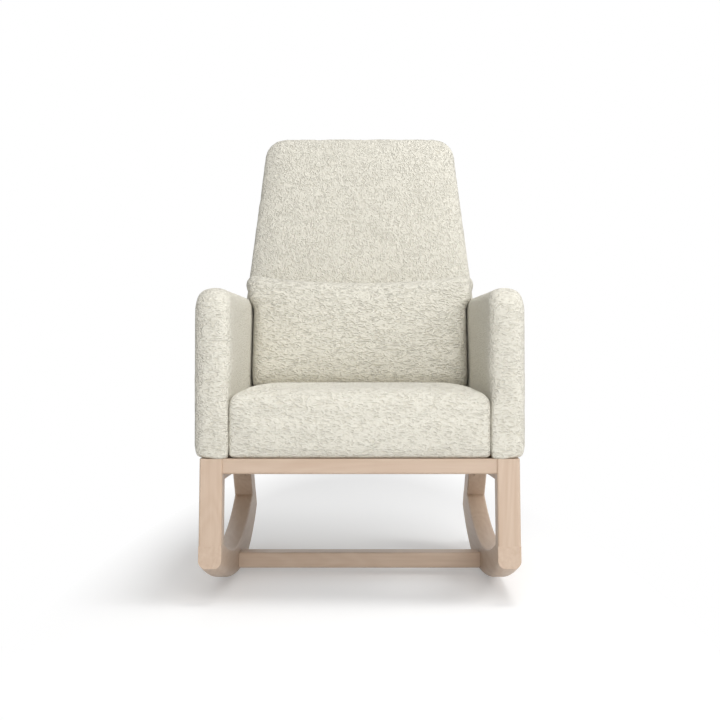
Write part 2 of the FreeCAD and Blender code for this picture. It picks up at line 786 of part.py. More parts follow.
def across_back(low, high, inset):
    """Corners of a piece between two places along the back, its ends in from the back's own sides."""
    low_half = back_half_width(low) - inset
    high_half = back_half_width(high) - inset
    return [Vector(-low_half, low, 0), Vector(low_half, low, 0), Vector(high_half, high, 0),
            Vector(-high_half, high, 0)]


def right_post_corners():
    """Corners of the right post, along the tapering side of the back."""
    outer = back_frame_inset
    inner = back_frame_inset + back_post_width
    return [Vector(back_half_width(post_low) - inner, post_low, 0),
            Vector(back_half_width(post_low) - outer, post_low, 0),
            Vector(back_half_width(posts_end) - outer, posts_end, 0),
            Vector(back_half_width(posts_end) - inner, posts_end, 0)]


sharp = [least_round] * 4
right_post = above_rails(back_prism(right_post_corners(), sharp, 0, back_frame_front, frame_rear))
top_rail_corners = across_back(posts_end, back_length, 0)
top_rail = back_prism(top_rail_corners, sharp, 0, back_frame_front, frame_rear).common(frame_form)
post_reach = back_frame_inset + back_post_width
bottom_rail_top = back_bottom_rail_lift + back_bottom_rail_height
bottom_rail_corners = across_back(back_bottom_rail_lift, bottom_rail_top, post_reach)
bottom_rail = above_rails(back_prism(bottom_rail_corners, sharp, 0, back_frame_front, frame_rear))
straps = []
for index in range(strap_count):
    low = strap_lowest + index * strap_pitch
    corners = across_back(low, low + strap_width, back_frame_inset + touch_gap)
    straps.append(back_prism(corners, sharp, 0, back_frame_front - strap_thickness, back_frame_front))
outside_panel = above_rails(back_prism(back_outline(), back_radii, back_frame_inset, frame_rear, panel_rear))
back_outside = above_rails(back_form(0))
back_cover = back_outside.cut(back_form(cover_thickness))
hollow_front = back_frame_front - strap_thickness - touch_gap
frame_hollow = back_prism(back_outline(), back_radii, back_frame_inset - touch_gap, hollow_front,
                          2 * back_thickness)
back_foam = above_rails(back_form(foam_inset)).cut(frame_hollow)

# Bolts from below the side rails into the arm cleats and the back posts, each in a threaded insert

insert_radius = insert_diameter / 2
low_slice = right_post.common(box_between(Vector(0, 0, rail_top), Vector(base_half, 2 * back_foot,
                                                                         rail_top + insert_length)))
post_bolt = low_slice.Solids[0].CenterOfMass
base_bolts = []
base_bolt_ways = []
inserts = []
insert_ways = []
for x, y in ((arm_middle, arm_bolt_front), (arm_middle, arm_bolt_rear), (post_bolt.x, post_bolt.y)):
    rail_bottom = lines_meet(rail_bottom_line, (Vector(y, 0, 0), Vector(0, 1, 0))).y
    head_low = Vector(x, y, rail_bottom + hole_clearance + bolt_head_height / 2)
    head_high = head_low + Vector(0, 0, bolt_head_height)
    tip = Vector(x, y, rail_top + insert_length - 2 * hole_clearance)
    bolt = cylinder(head_radius, head_low, head_high).fuse(cylinder(bolt_radius, head_low, tip))
    base_bolts.append(bolt)
    way = cylinder(head_radius + hole_clearance, head_low - Vector(0, 0, member_width), head_high)
    base_bolt_ways.append(way.fuse(cylinder(bolt_radius + hole_clearance, head_low, tip)))
    foot = Vector(x, y, rail_top)
    top = foot + Vector(0, 0, insert_length)
    insert = cylinder(insert_radius, foot, top).cut(cylinder(bolt_radius + dowel_clearance, foot, top))
    inserts.append(insert)
    insert_ways.append(cylinder(insert_radius + dowel_clearance, foot, top + Vector(0, 0, hole_clearance)))

for way in insert_ways:
    cleat = cleat.cut(way)
    right_post = right_post.cut(way)


def drilled(shape, holes):
    """The shape with the holes that reach it cut out."""
    for hole in holes:
        if shape.BoundBox.intersect(hole.BoundBox):
            shape = shape.cut(hole)
    return shape


# Pillow

pillow_outside = pillow_form(0)
pillow_cover = pillow_outside.cut(pillow_form(cover_thickness))
pillow_insert = pillow_form(foam_inset)

# Every piece by its name

member_holes = dowel_holes + [bolt_way, head_way] + base_bolt_ways + block_screws
sides = {"front_leg": drilled(front_leg(), member_holes), "runner": drilled(runner(), member_holes),
         "rear_leg": drilled(rear_leg(), member_holes), "side_rail": drilled(side_rail(), member_holes),
         "arm_cleat": cleat, "arm_panel": arm_panel, "arm_foam": arm_foam, "arm_cover": arm_cover,
         "seat_frame_side": seat_frame_right_bar, "back_post": right_post}
middle_holes = both_sides(dowel_holes) + block_screws + seat_screws
pieces = {"front_rail": drilled(front_rail, middle_holes), "rear_rail": drilled(rear_rail, middle_holes),
          "runner_stretcher": drilled(stretcher, stretcher_holes),
          "seat_frame_front": drilled(seat_frame_front_bar, seat_screws),
          "seat_frame_rear": drilled(seat_frame_rear_bar, seat_screws),
          "seat_deck": seat_deck, "seat_foam": seat_foam, "seat_cover": seat_cover,
          "dust_cover": dust_cover,
          "back_top_rail": top_rail, "back_bottom_rail": bottom_rail, "back_foam": back_foam,
          "back_cover": back_cover, "outside_back_panel": outside_panel,
          "lumbar_pillow_cover": pillow_cover, "lumbar_pillow_insert": pillow_insert}
groups = {"frame_dowels": both_sides(dowels), "stretcher_bolts": both_sides([stretcher_bolt]),
          "barrel_nuts": both_sides([barrel_nut]), "corner_blocks": blocks,
          "corner_block_screws": block_screws,
          "seat_frame_screws": seat_screws, "base_bolts": both_sides(base_bolts),
          "threaded_inserts": both_sides(inserts), "seat_springs": springs, "spring_clips": clips,
          "back_webbing": straps}
for name, shape in sides.items():
    pieces["right_" + name] = shape
    pieces["left_" + name] = mirrored(shape)
for name, solids in groups.items():
    pieces[name] = Part.makeCompound(solids)

# The origin is on the floor, under the middle of the whole chair

whole = FreeCAD.BoundBox()
for shape in pieces.values():
    whole.add(shape.optimalBoundingBox(False, False))
to_origin = Vector(-whole.Center.x, -whole.Center.y, -whole.ZMin)
os.makedirs("parts", exist_ok=True)
for name, shape in sorted(pieces.items()):
    placed = shape.copy()
    placed.translate(to_origin)
    placed.exportStep("parts/" + name + ".step")
    print(name, "solids", len(placed.Solids), "valid", placed.isValid(), "volume", round(placed.Volume))
print("size", round(whole.XLength, 2), round(whole.YLength, 2), round(whole.ZLength, 2))
print("moved", to_origin)
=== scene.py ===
import json
import logging
import math
from dataclasses import dataclass
from enum import Enum
from typing import Callable, Union

import bmesh
import bpy
import numpy as np
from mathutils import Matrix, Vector


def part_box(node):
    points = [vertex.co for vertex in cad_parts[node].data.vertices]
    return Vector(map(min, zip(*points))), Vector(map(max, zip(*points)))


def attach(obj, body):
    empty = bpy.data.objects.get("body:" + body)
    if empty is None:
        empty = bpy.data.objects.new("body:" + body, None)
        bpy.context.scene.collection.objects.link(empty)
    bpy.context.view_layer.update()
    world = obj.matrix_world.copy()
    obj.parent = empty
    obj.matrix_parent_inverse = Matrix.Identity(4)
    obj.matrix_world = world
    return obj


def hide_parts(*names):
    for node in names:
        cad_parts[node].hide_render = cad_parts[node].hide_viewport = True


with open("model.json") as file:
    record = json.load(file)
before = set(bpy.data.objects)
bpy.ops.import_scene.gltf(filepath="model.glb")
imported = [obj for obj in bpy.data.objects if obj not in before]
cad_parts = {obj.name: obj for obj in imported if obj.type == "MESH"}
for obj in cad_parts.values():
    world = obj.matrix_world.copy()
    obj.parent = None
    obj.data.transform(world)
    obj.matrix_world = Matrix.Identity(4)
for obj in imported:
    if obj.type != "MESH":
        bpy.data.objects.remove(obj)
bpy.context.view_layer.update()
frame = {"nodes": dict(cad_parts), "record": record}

log = logging.getLogger("rocking_chair")

Colour = tuple[float, float, float]
Triple = tuple[float, float, float]
Number = Union[float, "Value"]
MILLIMETRE = 0.001


class Body(Enum):
    """The two bodies of the chair that move apart."""

    CHAIR = "chair"
    PILLOW = "lumbar_pillow"


class Grain(Enum):
    """The way that the grain of a wooden member runs."""

    ACROSS = (1.0, 0.0, 0.0)
    DEEP = (0.0, 1.0, 0.0)
    FRONT_LEG = (0.0, 0.087, 0.996)
    REAR_LEG = (0.0, 0.574, 0.819)


def linear(red: int, green: int, blue: int) -> Colour:
    """Linear colour of a screen colour from 0 to 255."""
    shares = [channel / 255 for channel in (red, green, blue)]
    return tuple(c / 12.92 if c <= 0.04045 else ((c + 0.055) / 1.055) ** 2.4 for c in shares)


class Value:
    """A number in a material's nodes, with the usual arithmetic."""

    def __init__(self, paint: "Paint", socket: bpy.types.NodeSocket) -> None:
        """Wraps a socket.

        Args:
            paint: the material's nodes.
            socket: the output that holds the number.
        """
        self.paint = paint
        self.socket = socket

    def math(self, operation: str, first: Number, second: Number = 0.0) -> "Value":
        """Adds one Math node.

        Args:
            operation: the node's operation.
            first: its first number.
            second: its second number.

        Returns:
            The node's result.
        """
        return self.paint.value("ShaderNodeMath", {"operation": operation}, {0: first, 1: second})

    def __add__(self, other: Number) -> "Value":
        """Sum."""
        return self.math("ADD", self, other)

    def __radd__(self, other: Number) -> "Value":
        """Sum, from the right."""
        return self.math("ADD", other, self)

    def __sub__(self, other: Number) -> "Value":
        """Difference."""
        return self.math("SUBTRACT", self, other)

    def __rsub__(self, other: Number) -> "Value":
        """Difference, from the right."""
        return self.math("SUBTRACT", other, self)

    def __mul__(self, other: Number) -> "Value":
        """Product."""
        return self.math("MULTIPLY", self, other)

    def __rmul__(self, other: Number) -> "Value":
        """Product, from the right."""
        return self.math("MULTIPLY", other, self)

    def __abs__(self) -> "Value":
        """Size without its sign."""
        return self.math("ABSOLUTE", self)

    def sine(self) -> "Value":
        """Sine of the number."""
        return self.math("SINE", self)

    def held(self) -> "Value":
        """The number held between 0 and 1."""
        return self.math("MINIMUM", self.math("MAXIMUM", self, 0.0), 1.0)


class Paint:
    """The nodes of one material, or of the world."""

    def __init__(self, holder: Union[bpy.types.Material, bpy.types.World]) -> None:
        """Starts the nodes.

        Args:
            holder: the material or world that holds them.
        """
        holder.use_nodes = True
        self.material = holder
        self.tree = holder.node_tree

    @classmethod
    def named(cls, name: str) -> "Paint":
        """The nodes of a new material of this name."""
        return cls(bpy.data.materials.new(name))

    def give(self, socket: bpy.types.NodeSocket, given: object) -> None:
        """Sets or links one input.

        Args:
            socket: the input.
            given: a Value, an output socket or a plain number, colour or vector.
        """
        if isinstance(given, Value):
            self.tree.links.new(given.socket, socket)
        elif isinstance(given, bpy.types.NodeSocket):
            self.tree.links.new(given, socket)
        elif socket.type == "RGBA":
            socket.default_value = (*given, 1.0)
        else:
            socket.default_value = given

    def node(self, kind: str, settings: dict, inputs: dict) -> bpy.types.Node:
        """Adds one node.

        Args:
            kind: the node's type.
            settings: its properties, set first.
            inputs: what its inputs are given, by name or number.

        Returns:
            The node.
        """
        made = self.tree.nodes.new(kind)
        for key, setting in settings.items():
            setattr(made, key, setting)
        for key, given in inputs.items():
            self.give(made.inputs[key], given)
        return made

    def value(self, kind: str, settings: dict, inputs: dict) -> Value:
        """First output of a new node, as a number.

        Args:
            kind: the node's type.
            settings: its properties.
            inputs: what its inputs are given.

        Returns:
            The number.
        """
        return Value(self, self.node(kind, settings, inputs).outputs[0])

    def place(self) -> bpy.types.NodeSocket:
        """The point of the surface, in the chair's own frame."""
        return self.node("ShaderNodeTexCoord", {}, {}).outputs["Object"]

    def scaled(self, point: bpy.types.NodeSocket, scale: Triple) -> bpy.types.NodeSocket:
        """A point with each of its axes stretched.

        Args:
            point: the point.
            scale: the stretch of each axis.

        Returns:
            The stretched point.
        """
        return self.node("ShaderNodeVectorMath", {"operation": "MULTIPLY"}, {0: point, 1: scale}).outputs[0]

    def turned(self, point: bpy.types.NodeSocket, along: Triple) -> bpy.types.NodeSocket:
        """A point turned so that a direction becomes the first axis.

        Args:
            point: the point.
            along: the direction.

        Returns:
            The turned point.
        """
        turn = Vector(along).rotation_difference(Vector((1.0, 0.0, 0.0))).to_euler()
        return self.node("ShaderNodeMapping", {}, {"Vector": point, "Rotation": turn}).outputs[0]

    def noise(self, point: bpy.types.NodeSocket, scale: float, detail: float = 1.0,
              bend: float = 0.0) -> Value:
        """Soft random number over space.

        Args:
            point: where it is read.
            scale: cells to the metre.
            detail: finer layers.
            bend: how much the cells are bent.

        Returns:
            The number, about 0.5.
        """
        inputs = {"Vector": point, "Scale": scale, "Detail": detail, "Roughness": 0.55, "Distortion": bend}
        return self.value("ShaderNodeTexNoise", {}, inputs)

    def mix(self, share: Number, first: object, second: object) -> bpy.types.NodeSocket:
        """Two colours mixed.

        Args:
            share: how much of the second.
            first: a colour or an output.
            second: a colour or an output.

        Returns:
            The mixed colour.
        """
        return self.node("ShaderNodeMix", {"data_type": "RGBA"}, {0: share, 6: first, 7: second}).outputs[2]

    def finish(self, colour: object, roughness: Number, height: Number, depth: float,
               **fixed: float) -> None:
        """Gives the shader its inputs.

        Args:
            colour: base colour.
            roughness: how dull it is.
            height: relief from 0 to 1.
            depth: depth of the relief in metres.
            **fixed: numbers for other inputs, their names with _ for spaces.
        """
        relief = self.node("ShaderNodeBump", {}, {"Strength": 1.0, "Distance": depth, "Height": height})
        given = {"Base Color": colour, "Roughness": roughness, "Normal": relief.outputs[0]}
        given.update({key.replace("_", " "): number for key, number in fixed.items()})
        shader = self.tree.nodes["Principled BSDF"]
        for key, number in given.items():
            self.give(shader.inputs[key], number)

    def show(self, mixed: dict) -> None:
        """Mixes two shaders and shows the result.

        Args:
            mixed: the share of the second, the first and the second, by their places.
        """
        chosen = self.node("ShaderNodeMixShader", {}, mixed)
        output = next(node for node in self.tree.nodes if node.type.startswith("OUTPUT"))
        self.give(output.inputs["Surface"], chosen.outputs[0])


@dataclass(frozen=True)
class Boucle:
    """Looped ivory yarn, with ripples that run one way and painted shade in their hollows."""

    name: str
    stretch: Triple
    pitch: float = 5.2 * MILLIMETRE
    depth: float = 2.4 * MILLIMETRE
    crest: Colour = linear(228, 225, 214)
    # painted shade: the darker colour that the low hollows of the ripples are given
    painted_hollow_shade: Colour = linear(200, 193, 174)
    ripple_share: float = 0.72
    mottle_scale: float = 9.0
    roughness: float = 0.95
    gloss: float = 0.1
    sheen: float = 0.12
    sheen_spread: float = 0.6

    def material(self) -> bpy.types.Material:
        """Makes the material.

        Returns:
            The material.
        """
        paint = Paint.named(self.name)
        place = paint.place()
        cells = 1 / self.pitch
        wavy = paint.scaled(place, self.stretch)
        ripple = paint.noise(wavy, cells, 0.0, 0.35)
        worms = (1.3 - abs(ripple * 2 - 1) * 2.5).held()
        loops = paint.noise(wavy, cells * 2.1, 0.0, 0.3)
        height = worms * self.ripple_share + loops * (1 - self.ripple_share)
        mottle = paint.noise(place, self.mottle_scale, 2.0) * 0.08 - 0.04
        # painted shade: the colour follows the relief, so it darkens towards the hollow colour where worms
        # and loops are low
        colour = paint.mix((worms * 0.25 + loops * 0.5 + 0.3 + mottle).held(), self.painted_hollow_shade, self.crest)
        paint.finish(colour, self.roughness, height, self.depth, Specular_IOR_Level=self.gloss,
                     Sheen_Weight=self.sheen, Sheen_Roughness=self.sheen_spread)
        return paint.material


@dataclass(frozen=True)
class Timber:
    """Wood with streaks, fine pores and a quiet figure along its grain."""

    name: str
    grain: Grain
    light: Colour = linear(208, 187, 167)
    dark: Colour = linear(187, 160, 136)
    figure: float = 0.1
    roughness: float = 0.48
    lacquer: float = 0.12

    def material(self) -> bpy.types.Material:
        """Makes the material.

        Returns:
            The material.
        """
        paint = Paint.named(self.name)
        along = paint.turned(paint.place(), self.grain.value)
        streak = paint.noise(paint.scaled(along, (5.0, 130.0, 130.0)), 1.0, 3.0)
        pores = paint.noise(paint.scaled(along, (40.0, 1400.0, 1400.0)), 1.0, 1.0)
        rings = (paint.noise(paint.scaled(along, (2.2, 13.0, 13.0)), 1.0, 1.0, 0.6) * 58).sine()
        shade = (streak * 0.9 + pores * 0.25 + rings * self.figure - 0.08).held()
        colour = paint.mix(shade, self.dark, self.light)
        paint.finish(colour, self.roughness + (0.5 - pores) * 0.16, pores, 0.12 * MILLIMETRE,
                     Coat_Weight=self.lacquer, Coat_Roughness=0.3)
        return paint.material


@dataclass(frozen=True)
class Speckled:
    """Plain stuff with a grain of its own: foam, felt, board or cloth."""

    name: str
    light: Colour
    dark: Colour
    cell: float
    depth: float
    stretch: Triple = (1.0, 1.0, 1.0)
    roughness: float = 0.9
    metallic: float = 0.0

    def material(self) -> bpy.types.Material:
        """Makes the material.

        Returns:
            The material.
        """
        paint = Paint.named(self.name)
        place = paint.scaled(paint.place(), self.stretch)
        grain = paint.noise(place, 1 / self.cell, 2.0)
        cloud = paint.noise(place, 14.0, 2.0)
        colour = paint.mix((grain * 0.7 + cloud * 0.3).held(), self.dark, self.light)
        paint.finish(colour, self.roughness + (grain - 0.5) * 0.12, grain, self.depth, Metallic=self.metallic)
        return paint.material


def only(piece: bpy.types.Object) -> None:
    """Selects one object alone and makes it active."""
    bpy.ops.object.select_all(action="DESELECT")
    piece.select_set(True)
    bpy.context.view_layer.objects.active = piece


def copy_of(node: str, name: str) -> bpy.types.Object:
    """Copies a node's mesh into a new object and merges its points.

    Args:
        node: the node's name.
        name: the new object's name.

    Returns:
        The new object.
    """
    mesh = frame["nodes"][node].data.copy()
    mesh.materials.clear()
    piece = bpy.data.objects.new(name, mesh)
    bpy.context.scene.collection.objects.link(piece)
    only(piece)
    bpy.ops.object.mode_set(mode="EDIT")
    bpy.ops.mesh.select_all(action="SELECT")
    bpy.ops.mesh.remove_doubles(threshold=0.02 * MILLIMETRE)
    bpy.ops.object.mode_set(mode="OBJECT")
    return piece


def points_of(piece: bpy.types.Object) -> np.ndarray:
    """Places of a mesh's points, one to a row."""
    flat = np.zeros(len(piece.data.vertices) * 3, np.float32)
    piece.data.vertices.foreach_get("co", flat)
    return flat.reshape(-1, 3).astype(float)


def normals_of(piece: bpy.types.Object) -> np.ndarray:
    """Normals of a mesh's points, one to a row."""
    flat = np.zeros(len(piece.data.vertices) * 3, np.float32)
    piece.data.vertex_normals.foreach_get("vector", flat)
    return flat.reshape(-1, 3).astype(float)


def smooth(share: np.ndarray) -> np.ndarray:
    """Smooth step from 0 to 1."""
    held = np.clip(share, 0.0, 1.0)
    return held * held * (3 - 2 * held)


def put_points(piece: bpy.types.Object, points: np.ndarray) -> None:
    """Moves a mesh's points to new places."""
    piece.data.vertices.foreach_set("co", points.astype(np.float32).ravel())
    piece.data.update()


def applied(piece: bpy.types.Object, kind: str, **settings: object) -> None:
    """Adds a modifier and applies it.

    Args:
        piece: the object.
        kind: the modifier's type.
        **settings: its properties.
    """
    only(piece)
    modifier = piece.modifiers.new(kind.lower(), kind)
    for key, setting in settings.items():
        setattr(modifier, key, setting)
    bpy.ops.object.modifier_apply(modifier=modifier.name)


def outer_skin(piece: bpy.types.Object, open_below: bool) -> None:
    """Keeps the outside of a hollow cover and closes it again.

    Args:
        piece: the copy of the cover.
        open_below: whether the cover's two walls meet in a rim at its lowest height.
    """
    work = bmesh.new()
    work.from_mesh(piece.data)
    if open_below:
        lowest = min(point.co.z for point in work.verts)
        rim = [face for face in work.faces
               if face.normal.z < -0.9 and face.calc_center_median().z < lowest + 0.3 * MILLIMETRE]
        bmesh.ops.delete(work, geom=rim, context="FACES")
    walls: list[list[bmesh.types.BMVert]] = []
    seen: set[bmesh.types.BMVert] = set()
    for first in work.verts:
        if first in seen:
            continue
        seen.add(first)
        wall, front = [], [first]
        while front:
            point = front.pop()
            wall.append(point)
            for edge in point.link_edges:
                other = edge.other_vert(point)
                if other not in seen:
                    seen.add(other)
                    front.append(other)
        walls.append(wall)
    reach = [max(point.co.z for point in wall) - min(point.co.y for point in wall) for wall in walls]
    outside = walls[reach.index(max(reach))]
    inside = [point for wall in walls if wall is not outside for point in wall]
    bmesh.ops.delete(work, geom=inside, context="VERTS")
    work.to_mesh(piece.data)
    work.free()
    only(piece)
    bpy.ops.object.mode_set(mode="EDIT")
    bpy.ops.mesh.select_all(action="SELECT")
    bpy.ops.mesh.fill_holes(sides=0)
    bpy.ops.mesh.normals_make_consistent(inside=False)
    bpy.ops.object.mode_set(mode="OBJECT")


@dataclass
class Padding:
    """One upholstered piece, swollen by its filling inside a sewn cover."""

    name: str
    cover: str
    inside: tuple[str, ...]
    body: Body
    finish: Boucle
    fill: float
    most_swell: float
    loose: Callable[[np.ndarray], np.ndarray]
    fill_out: Callable[[np.ndarray], np.ndarray]
    open_below: bool = True
    voxel: float = 6.2 * MILLIMETRE
    start_smaller: float = 0.6 * MILLIMETRE
    pressure: float = 4.0
    last_step: int = 20

    def build(self) -> bpy.types.Object:
        """Builds the piece from its cover and lets it swell.

        Returns:
            The piece.
        """
        piece = copy_of(self.cover, self.name)
        outer_skin(piece, self.open_below)
        applied(piece, "REMESH", mode="VOXEL", voxel_size=self.voxel)
        put_points(piece, self.fill_out(points_of(piece)))
        applied(piece, "SMOOTH", factor=0.5, iterations=4)
        self.swell(piece)
        applied(piece, "SUBSURF", levels=1, render_levels=1)
        only(piece)
        bpy.ops.object.shade_smooth()
        return piece

    def swell(self, piece: bpy.types.Object) -> None:
        """Runs the cover as cloth under the pressure of its filling.

        Args:
            piece: the piece, which keeps the result.
        """
        begin = points_of(piece)
        loose = self.loose(begin)
        put_points(piece, begin - normals_of(piece) * (self.start_smaller * loose)[:, None])
        start = points_of(piece)
        group = piece.vertex_groups.new(name="held")
        for index, share in enumerate(loose):
            if share < 1.0:
                group.add([index], 1.0 - float(share), "REPLACE")
        only(piece)
        cloth = piece.modifiers.new("swell", "CLOTH")
        cloth.settings.quality = 3
        cloth.settings.mass = 0.3
        cloth.settings.use_pressure = True
        cloth.settings.uniform_pressure_force = self.pressure
        cloth.settings.effector_weights.gravity = 0.0
        cloth.settings.vertex_group_mass = group.name
        cloth.point_cache.frame_end = self.last_step
        for step in range(1, self.last_step + 1):
            bpy.context.scene.frame_set(step)
        bpy.ops.object.modifier_apply(modifier=cloth.name)
        bpy.context.scene.frame_set(1)
        moved = points_of(piece) - start
        outward = normals_of(piece)
        sunk = np.minimum((moved * outward).sum(axis=1), 0.0)
        moved -= outward * sunk[:, None]
        length = np.linalg.norm(moved, axis=1)
        most = self.most_swell * loose
        share = np.minimum(1.0, most / np.maximum(length, 1e-9))
        put_points(piece, start + moved * share[:, None])
        log.info("%s swelled by %.1f mm at most", self.name, 1000 * float((length * share).max()))
        piece.vertex_groups.clear()
        applied(piece, "SMOOTH", factor=0.5, iterations=2)

    def dress(self, piece: bpy.types.Object) -> None:
        """Gives the piece its cloth and its place on the chair.

        Args:
            piece: the piece.
        """
        piece.data.materials.append(self.finish.material())
        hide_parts(self.cover, *self.inside)
        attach(piece, self.body.value)
        log.info("%s: %d faces", self.name, len(piece.data.polygons))


@dataclass
class Upholstery:
    """The padded seat, arms, back and loose pillow."""

    rail_top: float
    soft_rise: float = 12 * MILLIMETRE
    arm_inner: float = 265 * MILLIMETRE
    arm_round: float = 31 * MILLIMETRE
    seat_edge: float = 425 * MILLIMETRE
    seat_edge_blend: float = 45 * MILLIMETRE
    arm_top: float = 645 * MILLIMETRE
    arm_front_length: float = 150 * MILLIMETRE
    arm_front_fullness: float = 5 * MILLIMETRE
    back_lean: float = math.radians(15)
    pillow_slices: int = 24
    pillow_between: float = 262.5 * MILLIMETRE
    pillow_over: float = 281 * MILLIMETRE
    pillow_end: float = 0.12
    pillow_sag: float = 13 * MILLIMETRE
    pillow_crown: float = 11 * MILLIMETRE
    pillow_hold: float = 40 * MILLIMETRE
    across: Triple = (0.5, 1.0, 1.0)
    upright: Triple = (1.0, 1.0, 0.6)

    def free_above_rails(self, points: np.ndarray) -> np.ndarray:
        """How free each point is: held at the rails, free a little above them.

        Args:
            points: places of the points.

        Returns:
            Numbers from 0, held, to 1, free.
        """
        return np.clip((points[:, 2] - self.rail_top) / self.soft_rise, 0.0, 1.0)

    def square_below_seat(self, points: np.ndarray) -> np.ndarray:
        """Fills out the rounded inner front edge of an arm where the seat presses against it.

        Args:
            points: places of the arm's points.

        Returns:
            Their new places.
        """
        side = np.sign(points[:, 0].mean())
        front = points[:, 1].min()
        in_x = 1 - (side * points[:, 0] - self.arm_inner) / self.arm_round
        in_y = 1 - (points[:, 1] - front) / self.arm_round
        corner = (in_x > 0) & (in_y > 0)
        grow = 1 / np.maximum(np.maximum(in_x, in_y), 0.2)
        share = smooth((self.seat_edge - points[:, 2]) / self.seat_edge_blend) * corner
        filled = points.copy()
        filled[:, 0] -= side * in_x * (grow - 1) * share * self.arm_round
        filled[:, 1] -= in_y * (grow - 1) * share * self.arm_round
        return filled

    def full_arm(self, points: np.ndarray) -> np.ndarray:
        """Squares an arm below the seat's edge and thickens its front above the seat.

        Args:
            points: places of the arm's points.

        Returns:
            Their new places.
        """
        filled = self.square_below_seat(points)
        side = np.sign(points[:, 0].mean())
        outer = np.abs(points[:, 0]).max()
        inward = np.clip((outer - side * points[:, 0]) / (outer - self.arm_inner), 0.0, 1.0)
        forward = smooth(1 - (points[:, 1] - points[:, 1].min()) / self.arm_front_length)
        above = smooth((points[:, 2] - self.seat_edge) / self.seat_edge_blend)
        filled[:, 0] -= side * self.arm_front_fullness * inward * forward * above
        return filled

    def as_cut(self, points: np.ndarray) -> np.ndarray:
        """Leaves the points where they are."""
        return points

    def full_pillow(self, points: np.ndarray) -> np.ndarray:
        """Fills the pillow out to the arms, lets its top sag and rounds its face.

        Args:
            points: places of the pillow's points.

        Returns:
            Their new places.
        """
        up = np.array((0.0, math.sin(self.back_lean), math.cos(self.back_lean)))
        out = np.array((0.0, -math.cos(self.back_lean), math.sin(self.back_lean)))
        height, depth = points @ up, points @ out
        share = (height - height.min()) / np.ptp(height)
        slices = np.linspace(0.0, 1.0, self.pillow_slices)
        nearest = np.rint(share * (self.pillow_slices - 1)).astype(int)
        widths = [np.abs(points[nearest == number, 0]).max() for number in range(self.pillow_slices)]
        width = np.interp(share, slices, widths)
        over = smooth((points[:, 2] - self.arm_top + self.arm_round) / self.arm_round)
        wanted = np.maximum(width, self.pillow_between + (self.pillow_over - self.pillow_between) * over)
        edge = smooth(share / self.pillow_end) * smooth((1 - share) / self.pillow_end)
        across = np.abs(points[:, 0]) / width
        filled = points.copy()
        filled[:, 0] *= 1 + (wanted / width - 1) * across ** 2 * np.maximum(edge, 0.5)
        middle = np.clip(1 - across ** 2, 0.0, 1.0)
        filled -= up * (self.pillow_sag * middle * smooth(share * 2 - 1))[:, None]
        front = smooth((depth - depth.mean()) / (np.ptp(depth) / 4))
        filled += out * (self.pillow_crown * np.sqrt(middle) * 4 * share * (1 - share) * front)[:, None]
        return filled

    def free_but_sides(self, points: np.ndarray) -> np.ndarray:
        """How free each point of the pillow is: nearly held where it meets the arms.

        Args:
            points: places of the points.

        Returns:
            Numbers from 0, held, to 1, free.
        """
        return np.clip((self.pillow_between - np.abs(points[:, 0])) / self.pillow_hold, 0.1, 1.0)

    def build(self) -> None:
        """Builds and dresses every padded piece."""
        flowing = Boucle("boucle_across", self.across)
        upright = Boucle("boucle_upright", self.upright, pitch=4.6 * MILLIMETRE, depth=3.0 * MILLIMETRE)
        plump = Boucle("boucle_pillow", self.across, depth=3.6 * MILLIMETRE)
        paddings = [
            Padding("seat_upholstery", "seat_cover", ("seat_foam",), Body.CHAIR, flowing, 0.8,
                    6 * MILLIMETRE, self.free_above_rails, self.as_cut),
            Padding("left_arm_upholstery", "left_arm_cover", ("left_arm_foam",), Body.CHAIR, flowing, 0.95,
                    2 * MILLIMETRE, self.free_above_rails, self.full_arm),
            Padding("right_arm_upholstery", "right_arm_cover", ("right_arm_foam",), Body.CHAIR, flowing, 0.95,
                    2 * MILLIMETRE, self.free_above_rails, self.full_arm),
            Padding("back_upholstery", "back_cover", ("back_foam",), Body.CHAIR, upright, 0.85,
                    4 * MILLIMETRE, self.free_above_rails, self.as_cut),
            Padding("pillow_stuffed", "lumbar_pillow_cover", ("lumbar_pillow_insert",), Body.PILLOW, plump,
                    0.7, 5 * MILLIMETRE, self.free_but_sides, self.full_pillow, open_below=False),
        ]
        for padding in paddings:
            padding.dress(padding.build())


@dataclass
class WoodenBase:
    """Legs, runners, rails and stretcher in maple."""

    edge_break: float = 0.9 * MILLIMETRE
    smooth_angle: float = math.radians(32)

    def members(self) -> dict[str, Grain]:
        """Grain of each member, by its node."""
        found = {"front_rail": Grain.ACROSS, "rear_rail": Grain.ACROSS, "runner_stretcher": Grain.ACROSS}
        for side in ("left", "right"):
            found[f"{side}_front_leg"] = Grain.FRONT_LEG
            found[f"{side}_rear_leg"] = Grain.REAR_LEG
            found[f"{side}_runner"] = Grain.DEEP
            found[f"{side}_side_rail"] = Grain.DEEP
        return found

    def build(self) -> None:
        """Builds and dresses every member."""
        finishes = {grain: Timber(f"maple_{grain.name.lower()}", grain).material() for grain in Grain}
        for node, grain in self.members().items():
            piece = self.member(node)
            piece.data.materials.append(finishes[grain])
            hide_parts(node)
            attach(piece, Body.CHAIR.value)
            log.info("%s: %d faces", piece.name, len(piece.data.polygons))

    def member(self, node: str) -> bpy.types.Object:
        """Copies one member and breaks its sharp edges.

        Args:
            node: the member's node.

        Returns:
            The finished member.
        """
        piece = copy_of(node, f"{node}_maple")
        bpy.ops.object.mode_set(mode="EDIT")
        bpy.ops.mesh.select_all(action="SELECT")
        bpy.ops.mesh.dissolve_limited(angle_limit=math.radians(0.5))
        bpy.ops.object.mode_set(mode="OBJECT")
        applied(piece, "BEVEL", width=self.edge_break, segments=2, limit_method="ANGLE",
                angle_limit=math.radians(40), harden_normals=False)
        only(piece)
        bpy.ops.object.shade_smooth_by_angle(angle=self.smooth_angle)
        applied(piece, "WEIGHTED_NORMAL", keep_sharp=True)
        return piece


